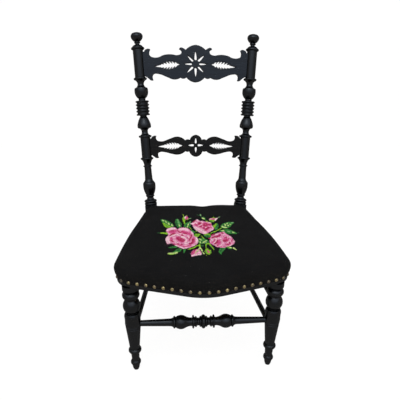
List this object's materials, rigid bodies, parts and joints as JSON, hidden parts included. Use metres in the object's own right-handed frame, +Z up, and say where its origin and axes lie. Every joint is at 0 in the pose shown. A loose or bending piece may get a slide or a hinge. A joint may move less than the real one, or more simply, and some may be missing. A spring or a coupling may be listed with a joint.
{
  "type": "nursing chair",
  "caption": "Low nursing chair with an ebonised turned frame, scroll-cut pierced back rails and a stuffed-over seat in black cloth worked with a bouquet of roses.",
  "frame": {"origin": "on the floor, under the middle of the chair's bounding box", "axes": "+Z up, -Y towards the front of the seat, +X to the right as seen from the front"},
  "size_m": [0.441, 0.589, 0.851],
  "materials": {
    "ebonised_wood": "satin black polish",
    "cover_cloth": "black wool cloth with a stitched bouquet",
    "nail_brass": "antiqued",
    "webbing": "jute",
    "hessian": "open plain weave",
    "stuffing": "fibre"
  },
  "bodies": {
    "root": {"back_post_left": "ebonised_wood", "back_post_right": "ebonised_wood", "finial_left": "ebonised_wood", "finial_right": "ebonised_wood", "crest_rail": "ebonised_wood", "lower_back_rail": "ebonised_wood", "front_leg_left": "ebonised_wood", "front_leg_right": "ebonised_wood", "front_stretcher": "ebonised_wood", "rear_stretcher": "ebonised_wood", "side_stretcher_lower_left": "ebonised_wood", "side_stretcher_lower_right": "ebonised_wood", "side_stretcher_upper_left": "ebonised_wood", "side_stretcher_upper_right": "ebonised_wood", "seat_rail_front": "ebonised_wood", "seat_rail_left": "ebonised_wood", "seat_rail_right": "ebonised_wood", "seat_rail_rear": "ebonised_wood", "webbing_lengthwise": "webbing", "webbing_crosswise": "webbing", "hessian": "hessian", "stuffing": "stuffing", "seat_cover": "cover_cloth", "cover_nails": "nail_brass"}
  },
  "joints": []
}
